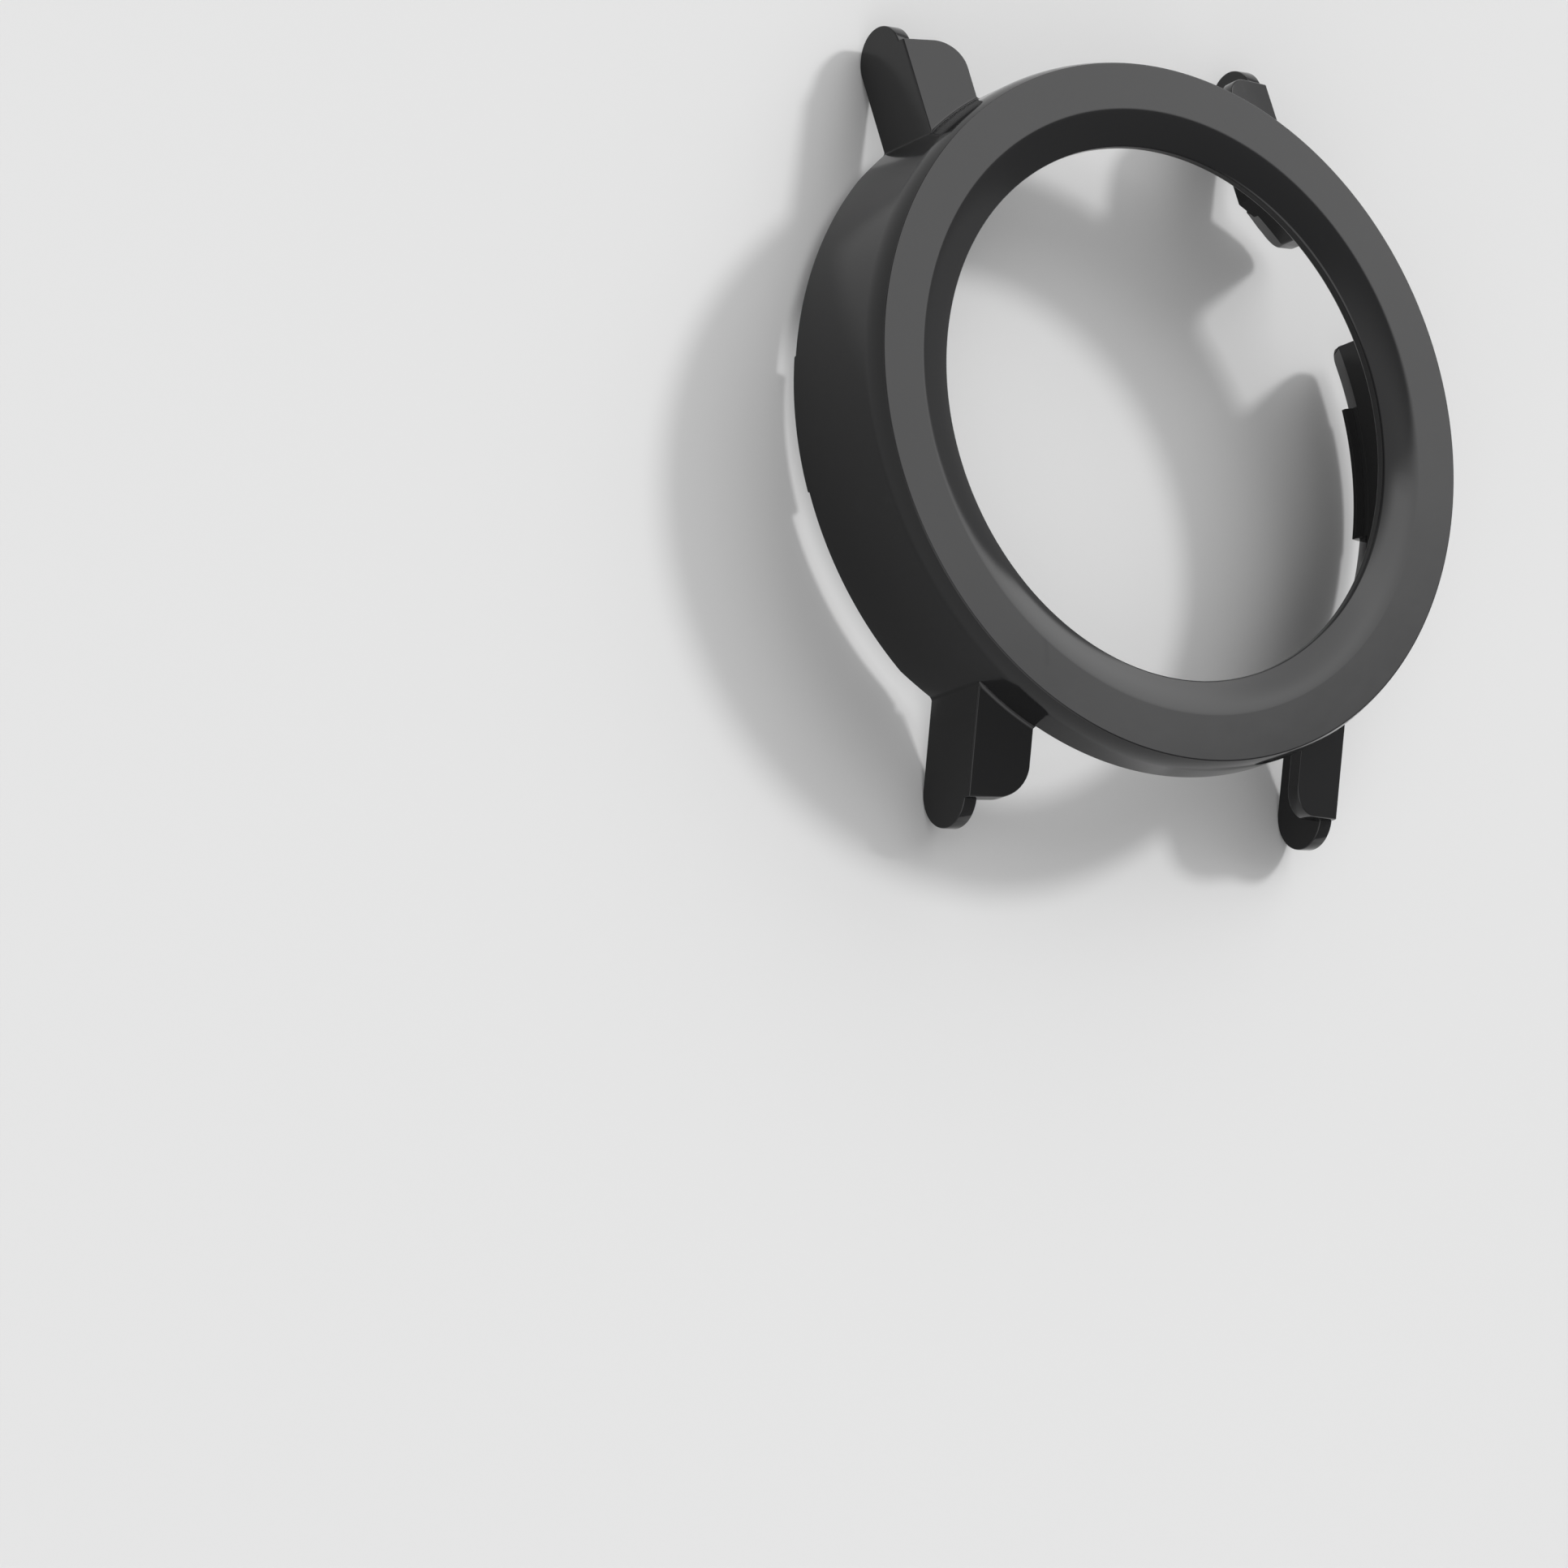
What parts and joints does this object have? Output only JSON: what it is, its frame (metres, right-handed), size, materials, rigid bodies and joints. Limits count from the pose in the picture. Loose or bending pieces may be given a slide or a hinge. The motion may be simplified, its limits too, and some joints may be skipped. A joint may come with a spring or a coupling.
{
  "type": "smartwatch bumper case",
  "caption": "Gloss black clip-on bumper case for a round smartwatch, with a dished bezel ring, a skirt, sprung snap walls and a guard over each lug.",
  "frame": {"origin": "centre of the dial opening, at the height of the lug guards' lowest points", "axes": "+Z out of the dial, +Y towards 12 o'clock, +X towards 3 o'clock, where the crown cut-out is"},
  "size_m": [0.0472, 0.0534, 0.0107],
  "materials": {
    "case_body": "gloss"
  },
  "bodies": {
    "case_body": {"bezel_ring": "case_body", "strap_wall_top": "case_body", "strap_wall_bottom": "case_body", "side_wall_top_left": "case_body", "side_wall_bottom_left": "case_body", "side_wall_top_right": "case_body", "side_wall_bottom_right": "case_body", "lug_guard_side_top_left": "case_body", "lug_guard_side_top_right": "case_body", "lug_guard_side_bottom_left": "case_body", "lug_guard_side_bottom_right": "case_body", "lug_guard_front_top_left": "case_body", "lug_guard_front_top_right": "case_body", "lug_guard_front_bottom_left": "case_body", "lug_guard_front_bottom_right": "case_body"},
    "snap_left": {"snap_wall_left": "case_body"},
    "snap_right": {"snap_wall_right": "case_body"}
  },
  "joints": [
    {"name": "snap_wall_left_flex", "type": "hinge", "parent": "case_body", "child": "snap_left", "pos_m": [-0.02307, 0, 0.00863], "axis": [0, 1, 0], "range_deg": [0, 3], "stiffness_Nm_per_rad": 0.05},
    {"name": "snap_wall_right_flex", "type": "hinge", "parent": "case_body", "child": "snap_right", "pos_m": [0.02307, 0, 0.00863], "axis": [0, -1, 0], "range_deg": [0, 3], "stiffness_Nm_per_rad": 0.05}
  ]
}
